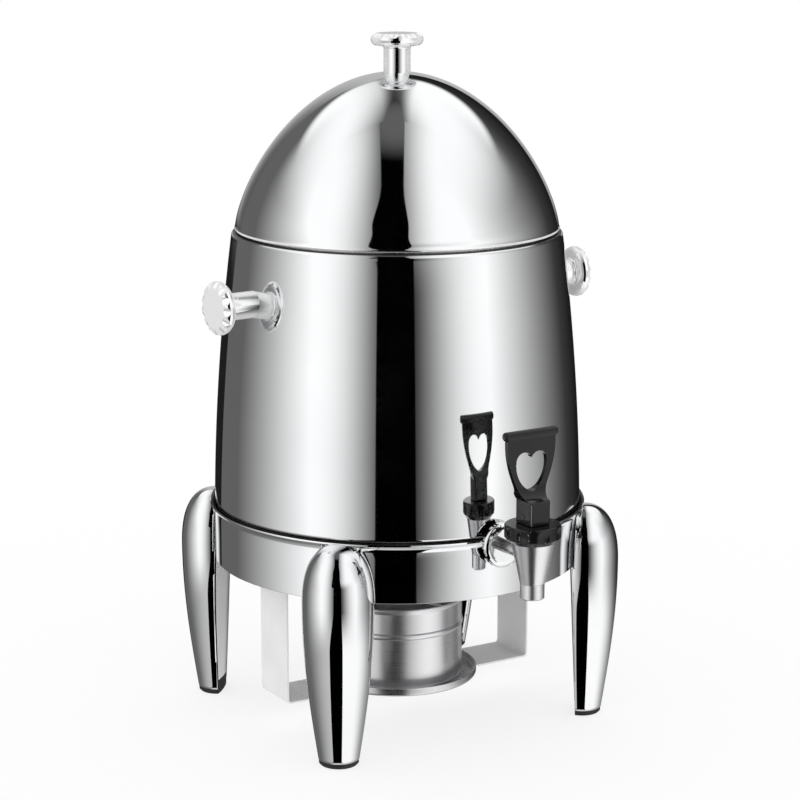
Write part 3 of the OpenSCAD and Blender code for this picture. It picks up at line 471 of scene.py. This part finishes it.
def cut_notch(ring):
    """Cuts the ring away behind the tap's collar, so that the vessel lifts out."""
    cutter = notch_cutter()
    cut = ring.modifiers.new("notch", "BOOLEAN")
    cut.operation, cut.solver, cut.object = "DIFFERENCE", "EXACT", cutter
    seen = ring.evaluated_get(bpy.context.evaluated_depsgraph_get())
    notched = bpy.data.meshes.new_from_object(seen)
    ring.modifiers.remove(cut)
    bpy.data.objects.remove(cutter)
    ring.data = notched
    shade(notched)


def leg_section(z):
    """Radius of a leg's round section: a sine up to its belly, and a rounded crown above."""
    if z <= LEG_BELLY_Z:
        return LEG_FOOT_R + (LEG_R - LEG_FOOT_R) * math.sin(math.pi / 2 * z / LEG_BELLY_Z)
    u = min(1.0, (z - LEG_BELLY_Z) / (LEG_TOP_Z - LEG_BELLY_Z))
    return LEG_R * (1.0 - u ** LEG_TOP_SHARE) ** (1.0 / LEG_TOP_SHARE)


def in_crown(z, radius, turn):
    """Whether a point of a leg's section lies before the crowned back that it has below the band."""
    out = LEG_AXIS_R + radius * math.cos(turn) - (BAND_R + LEG_CROWN_R - z * math.tan(LEG_BACK_TILT))
    return math.hypot(out * math.cos(LEG_BACK_TILT), radius * math.sin(turn)) <= LEG_CROWN_R


def leg_half_turn(z, radius):
    """How far round a leg's section goes before it meets its back, the band, or the lip above it."""
    if z < LEG_STEP_Z:
        low, high = 0.0, math.pi
        for _ in range(LEG_HALVINGS):
            middle = (low + high) / 2
            low, high = (middle, high) if in_crown(z, radius, middle) else (low, middle)
        return low
    if z < LIP_CUT_Z:
        return math.acos(max(-1.0, (BAND_R - LEG_AXIS_R) / radius))
    cut = (LIP_CUT_R ** 2 - LEG_AXIS_R ** 2 - radius ** 2) / (2 * LEG_AXIS_R * radius)
    return math.acos(max(-1.0, min(1.0, cut)))


def leg_heights():
    """Heights of a leg's rows, closer together at its crown, with two rows at each step of its back."""
    share_below = [i / LEG_ROWS_BELOW for i in range(LEG_ROWS_BELOW)]
    share_above = [math.sin(math.pi / 2 * i / LEG_ROWS_ABOVE) for i in range(LEG_ROWS_ABOVE)]
    heights = [FOOT_H + (LEG_BELLY_Z - FOOT_H) * share for share in share_below]
    heights += [LEG_BELLY_Z + (LEG_TOP_Z - LEG_BELLY_Z) * share for share in share_above]
    heights += [z - gap for z in (LEG_STEP_Z, LIP_CUT_Z) for gap in (LEG_STEP_GAP, 0.0)]
    return sorted(heights)


def leg_row(bm, z, facing):
    """Points round a leg's section, those past its back drawn together at the back's edge."""
    radius = leg_section(z)
    half = leg_half_turn(z, radius)
    row, last = [], None
    for i in range(LEG_ACROSS + 1):
        turn = max(-half, min(half, math.pi * (2.0 * i / LEG_ACROSS - 1.0)))
        if turn == last:
            row.append(row[-1])
            continue
        last = turn
        row.append(bm.verts.new((
            (LEG_AXIS_R * math.cos(facing) + radius * math.cos(facing + turn)) * MM,
            (LEG_AXIS_R * math.sin(facing) + radius * math.sin(facing + turn)) * MM, z * MM)))
    return row


def leg(name, turn):
    """A leg's sheet, open at the back, with its wall inwards."""
    bm = bmesh.new()
    facing = math.radians(turn - 90.0)
    rows = [leg_row(bm, z, facing) for z in leg_heights()]
    for low, high in zip(rows, rows[1:]):
        for i in range(LEG_ACROSS):
            add_face(bm, (low[i], low[i + 1], high[i + 1], high[i]))
    add_face(bm, rows[-1])
    wall = finish_mesh(bm, name + "_shell", "stand", name).modifiers.new("wall", "SOLIDIFY")
    wall.thickness = LEG_WALL * MM
    wall.offset = -1.0


# Vessel and lid

def barrel_r(z):
    u = (z - BARREL_FOOT_Z) / (BARREL_TOP_Z - BARREL_FOOT_Z)
    return BARREL_FOOT_R + (BARREL_TOP_R - BARREL_FOOT_R) * u + 4 * BARREL_BULGE * u * (1 - u)


def inside_barrel(radius, z, outwards, up):
    """The barrel's faces painted with shade: its inner face, its skirt in the ring, and its top edge under
    the lid.
    """
    inwards, upwards = -0.2, 0.8
    in_ring = z < BARREL_FOOT_Z - SKIRT_SKIN
    under_lid = z > BARREL_TOP_Z + MOUTH_SKIN and up > upwards
    return outwards < inwards or in_ring or under_lid


def vessel_barrel():
    """The barrel: skirt, turned foot, bulging side, rolled shoulder and mouth, and back down inside."""
    top = BARREL_TOP_Z + BARREL_ROLL
    height = BARREL_TOP_Z - BARREL_FOOT_Z
    side = [BARREL_FOOT_Z + height * i / BARREL_ROWS for i in range(1, BARREL_ROWS + 1)]
    roll = (BARREL_TOP_R - BARREL_ROLL, BARREL_TOP_Z)
    outline = [(SKIRT_R - SHEET, LEDGE_Z), (SKIRT_R, LEDGE_Z), (SKIRT_R, SKIRT_TOP)]
    outline += [(BARREL_FOOT_R - inwards, BARREL_FOOT_Z - down) for inwards, down in BARREL_FOOT_STEPS]
    outline += [(BARREL_FOOT_R, BARREL_FOOT_Z)] + [(barrel_r(z), z) for z in side]
    outline += arc(roll, BARREL_ROLL, 0, 90, ROLL_ROWS)[1:]
    outline += arc((MOUTH_R + MOUTH_ROUND, top - MOUTH_ROUND), MOUTH_ROUND, 90, 180, LIP_ROWS)
    outline += [(MOUTH_R, top - MOUTH_LIP), (MOUTH_R + SHEET, top - MOUTH_LIP)]
    outline += [(MOUTH_R + SHEET, top - SHEET)]
    outline += arc(roll, BARREL_ROLL - SHEET, 90, 0, ROLL_INNER_ROWS)
    outline += [(barrel_r(z) - SHEET, z) for z in reversed(side[:-1])] + [(SKIRT_R - SHEET, SKIRT_TOP)]
    barrel = lathe("barrel", outline, "vessel", "vessel_shell")
    # The inner, skirt and under-lid faces get the dark steel painted for shade.
    finish_faces(barrel, "inner_steel", inside_barrel)


def dome_points(inset):
    """The dome's profile from its foot to the knob's seat."""
    end = math.asin((1 - (SEAT_R / (DOME_R - inset)) ** 2) ** (1 / DOME_SHARE))
    points = []
    for i in range(DOME_ROWS + 1):
        u = math.sin(end * i / DOME_ROWS)
        points.append(((DOME_R - inset) * math.sqrt(1 - u ** DOME_SHARE), DOME_Z + (DOME_H - inset) * u))
    return points


def on_bead(radius, z, outwards, up):
    return z < DOME_RIM_Z + DOME_RIM_H


def inside_dome(radius, z, outwards, up):
    """The dome's faces painted with shade: its inner face and its rim's underside."""
    inwards, downwards = -0.05, -0.95
    return up < downwards or outwards < inwards


def lid_dome():
    """The dome over its half-round bead, with the inner face back down to the rim."""
    outer = [p for p in dome_points(0) if p[1] > DOME_RIM_Z + DOME_RIM_H]
    top = outer[-1][1]
    inner = [p for p in dome_points(DOME_T) if DOME_RIM_Z + DOME_T < p[1] < top - DOME_T]
    bead = DOME_RIM_H / 2
    middle = (DOME_R + DOME_RIM_PROUD - bead, DOME_RIM_Z + bead)
    outline = [(MOUTH_R - DOME_RIM_IN, DOME_RIM_Z)] + arc(middle, bead, -90, BEAD_END, BEAD_ROWS)
    outline += outer + [(0, top), (0, top - DOME_T)] + list(reversed(inner))
    outline += [(DOME_R - DOME_T, DOME_RIM_Z + DOME_T), (MOUTH_R - DOME_RIM_IN, DOME_RIM_Z + DOME_T)]
    dome = lathe("domed_lid", outline, "lid", "lid_dome")
    finish_faces(dome, "knob_steel", on_bead)
    # The inner face and the rim's underside get the dark steel painted for shade.
    finish_faces(dome, "inner_steel", inside_dome)


def valve_spring():
    """The CAD's spring as a piece of its own in fastener steel, riding on the vessel."""
    spring = add_object("coil_spring", NODES["tap_spring"].data.copy())
    spring.data.materials.clear()
    spring.data.materials.append(MATERIALS["fastener_steel"])
    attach(spring, "vessel")
    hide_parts("tap_spring")
    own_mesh(spring)


# CAD nodes that keep their own shape

def soften(node):
    """Rounds a moulded piece's edges a little."""
    skin = node.modifiers.new("skin", "REMESH")
    skin.mode = "VOXEL"
    skin.voxel_size = MOULD_GRAIN * MM
    skin.use_smooth_shade = True
    rounded = node.modifiers.new("rounded", "SMOOTH")
    rounded.factor = MOULD_STRENGTH
    rounded.iterations = MOULD_ROUNDING


def per_leg(prefix):
    return [prefix + name.removeprefix("leg_") for name in LEGS]


def dress_nodes():
    """Gives each node that shows its own mesh its finish."""
    finishes = {
        "satin_steel": ["support_ledge", "burner_tray", "vessel_floor", "lid_collar"],
        "pale_steel": ["burner_bracket"],
        "brushed_steel": ["tap_body", "fuel_cup"],
        "knob_steel": ["handle_left", "handle_right", "lid_knob"] + per_leg("leg_plate_"),
        "polished_steel": ["tap_collar"],
        "fastener_steel": ["leg_bolts", "bracket_screws", "tray_rivets", "handle_screws", "handle_washers",
                           "lid_knob_screw", "lid_knob_washer", "tap_locknut", "tap_stem"],
        # The lever's pin takes the same steel painted dark for shade, which hides its glint.
        "inner_steel": ["lever_pin"],
        "black_plastic": ["tap_bonnet", "tap_lever"],
        "black_rubber": ["handle_gaskets", "tap_outer_gasket", "tap_inner_gasket"] + per_leg("foot_"),
        "pale_silicone": ["tap_seat_cup"],
    }
    for finish, names in finishes.items():
        for name in names:
            NODES[name].data.materials.clear()
            NODES[name].data.materials.append(MATERIALS[finish])
    for name in ("tap_lever", "tap_bonnet"):
        soften(NODES[name])


# Studio: levels and edges by direction, where x is to the right, y back to the camera and z up

def panel_left(x, y, up, behind):
    """The tall soft panel on the left: how far its light has risen, and how it falls off behind."""
    edge, width, narrowing = 0.05, 0.75, 0.30
    depth, shortening = 1.55, 0.6
    risen = (behind * PANEL_TURN - x - edge) / (up * up * -narrowing + width)
    fallen = (y + 1.0) / (up * -shortening + depth)
    return risen.rise(0.0, 1.0), (fallen * fallen).most(1.0)


def panel_right(x, y, up, behind):
    """The panel on the right, which stands nearer to the gap above the barrel's height."""
    edge, width, narrowing, barrel_edge = 0.12, 0.67, 0.15, (0.10, 0.90)
    depth, shortening, deepening, above_barrel = 1.48, 0.2, 0.15, (0.05, 0.25)
    high = up.rise(*above_barrel)
    risen = (behind * PANEL_TURN + x + edge) / (up * up * -narrowing + width)
    fallen = (y + 1.0) / (high * deepening + up * -shortening + depth)
    return high.between(x.rise(*barrel_edge), risen.rise(0.0, 1.0)), (fallen * fallen).most(1.0)


def ceiling(z, behind):
    """The light overhead, which starts more sharply behind."""
    before, after, turn = (0.35, 0.86), (0.52, 0.62), (0.3, 0.6)
    return behind.rise(*turn).between(z.rise(*before), z.rise(*after))


def dark_gap(x, y, z, low):
    """0 in the dark gap between the panels and 1 outside: wide at the dome's foot, with a waist above."""
    foot, narrowing, waist, all_dome = (0.09, 0.13), (0.13, 0.40), (0.45, 0.80), (0.05, 0.35)
    left_edge, left_foot, left_narrowing, left_waist, left_low = 0.22, 0.11, 0.05, 0.11, 0.20
    right_edge, right_dome, right_waist, right_low = 0.19, 0.06, 0.06, 0.05
    back_edge = (-0.02, 0.05)
    left = z.rise(*foot) * -left_foot + z.rise(*narrowing) * left_narrowing
    left = left + z.rise(*waist) * left_waist + low * -left_low - left_edge
    right = z.rise(*all_dome) * -right_dome + z.rise(*waist) * -right_waist + low * right_low + right_edge
    outside = (left - x).rise(0.0, GAP_SOFT) + (x - right).rise(0.0, GAP_SOFT)
    return (outside + (-y).rise(*back_edge)).most(1.0)


def far_wall(x, y, z):
    """What the metal's outlines see behind: dark at the sides, with a step, and grey in the middle."""
    left_step, right_step = (0.79, 0.80), (0.93, 0.94)
    left_level, right_level, right_slope = 0.115, 0.12, 0.12
    middle, middle_gain, middle_dark, horizon, least = (-0.55, -0.10), 0.36, 0.09, (-0.12, -0.04), 0.012
    on_right = x.above(0.0)
    near = on_right.between((-y).rise(*left_step), (-y).rise(*right_step))
    grey = (-x.unsigned()).rise(*middle) * middle_gain + middle_dark
    side = on_right.between(constant(x.tree, left_level), y * right_slope + right_level)
    return near, near.between(side, grey * z.rise(*horizon) + least)


def far_column(x, z, behind):
    """A soft dark column overhead behind the middle, which the dome shows below its knob."""
    side, dark, behind_from, overhead_from = (0.02, 0.15), 0.15, (0.0, 0.05), (0.50, 0.60)
    column = x.unsigned().rise(*side) * (1.0 - dark) + dark
    return column.least((behind.rise(*behind_from) * z.rise(*overhead_from)).flipped())


def light_below(x, y):
    """What the legs and the lip's underside see below the panels: pale on the right, greyer on the left."""
    left_reach, left_gain, left_dark = (-0.5, 1.0), 0.42, 0.12
    right_reach, right_gain, right_dark = (-0.8, 0.4), 0.72, 0.26
    left = y.rise(*left_reach) * left_gain + left_dark
    right = y.rise(*right_reach) * right_gain + right_dark
    return x.above(0.0).between(left, right)


def studio_light(tree, x, y, z):
    """Level of the studio by direction."""
    below, sides, wall_from = (0.28, 0.42), (-0.06, 0.06), (-0.3, 0.3)
    zenith, zenith_level, nadir, nadir_level = (0.90, 1.0), 0.11, (0.90, 0.98), 0.6
    up, behind, low = z.least(0.0), (-y).least(0.0), (-z).rise(*below)
    right = x.rise(*sides)
    risen_left, fallen_left = panel_left(x, y, up, behind)
    risen_right, fallen_right = panel_right(x, y, up, behind)
    cut, far = far_wall(x, y, z)
    risen = right.between(risen_left, risen_right)
    fallen = right.between(fallen_left, fallen_right) * cut.flipped()
    walls = risen * (fallen.flipped() * ceiling(z, behind).flipped()).flipped()
    walls = walls.least(far * (-y).rise(*wall_from)) * far_column(x, z, behind)
    level = low.between(walls, light_below(x, y)) * dark_gap(x, y, z, low)
    level = level.least(z.rise(*zenith) * zenith_level)
    return (-z).rise(*nadir).between(level, constant(tree, nadir_level))


def add_background(tree):
    background = add_node(tree, "ShaderNodeBackground")
    background.inputs["Color"].default_value = (1.0, 1.0, 1.0, 1.0)
    return background


def studio():
    """Two tall soft panels beside a dark gap round the camera, seen by the metal alone; the rest is even."""
    world = bpy.data.worlds.new("studio")
    bpy.context.scene.world = world
    world.use_nodes = True
    tree = world.node_tree
    tree.nodes.clear()
    place = add_node(tree, "ShaderNodeTexCoord").outputs["Generated"]
    ways = []
    for way in (STUDIO_RIGHT, STUDIO_BACK, STUDIO_UP):
        dot = add_node(tree, "ShaderNodeVectorMath", operation="DOT_PRODUCT")
        tree.links.new(place, dot.inputs[0])
        dot.inputs[1].default_value = way
        ways.append(Wire(tree, dot.outputs["Value"]))
    level = studio_light(tree, *ways) * STUDIO_LEVEL
    even, seen = add_background(tree), add_background(tree)
    tree.links.new(level.socket, seen.inputs["Strength"])
    is_glossy = add_node(tree, "ShaderNodeLightPath").outputs["Is Glossy Ray"]
    both = mixed_shader(tree, is_glossy, even.outputs["Background"], seen.outputs["Background"])
    tree.links.new(both, add_node(tree, "ShaderNodeOutputWorld").inputs["Surface"])


def pale_floor():
    """Even white with a soft shadow; polished metal sees the studio past it."""
    finish = Finish("pale_floor")
    tree = finish.tree
    tree.nodes.remove(finish.shader)
    matt = add_node(tree, "ShaderNodeBsdfDiffuse")
    matt.inputs["Color"].default_value = (FLOOR_MATT, FLOOR_MATT, FLOOR_MATT, 1.0)
    glow = add_node(tree, "ShaderNodeEmission")
    glow.inputs["Color"].default_value = (FLOOR_GLOW, FLOOR_GLOW, FLOOR_GLOW, 1.0)
    both = add_node(tree, "ShaderNodeAddShader")
    tree.links.new(matt.outputs["BSDF"], both.inputs[0])
    tree.links.new(glow.outputs["Emission"], both.inputs[1])
    is_glossy = add_node(tree, "ShaderNodeLightPath").outputs["Is Glossy Ray"]
    clear = add_node(tree, "ShaderNodeBsdfTransparent").outputs["BSDF"]
    finish.surface(mixed_shader(tree, is_glossy, both.outputs["Shader"], clear))
    return finish.material


def floor():
    bm = bmesh.new()
    bmesh.ops.create_grid(bm, x_segments=FLOOR_CELLS, y_segments=FLOOR_CELLS, size=FLOOR_HALF)
    mesh = bpy.data.meshes.new("floor")
    bm.to_mesh(mesh)
    bm.free()
    mesh.materials.append(pale_floor())
    add_object("floor", mesh)


def camera():
    data = bpy.data.cameras.new("camera")
    data.lens = CAMERA_LENS
    data.sensor_width = CAMERA_SENSOR
    data.clip_end = CAMERA_REACH
    view = add_object("camera", data)
    place = (CAMERA_ASIDE * MM, -CAMERA_FAR * MM, CAMERA_HIGH * MM)
    aim = Matrix.Rotation(math.pi / 2 - CAMERA_DOWN, 4, "X")
    view.matrix_world = Matrix.Rotation(-CAMERA_TURN, 4, "Z") @ Matrix.Translation(place) @ aim
    bpy.context.scene.camera = view


stand_band()
for leg_name, leg_turn in LEGS.items():
    leg(leg_name, leg_turn)
vessel_barrel()
lid_dome()
valve_spring()
dress_nodes()
studio()
floor()
camera()
bpy.context.scene.view_settings.view_transform = "Standard"
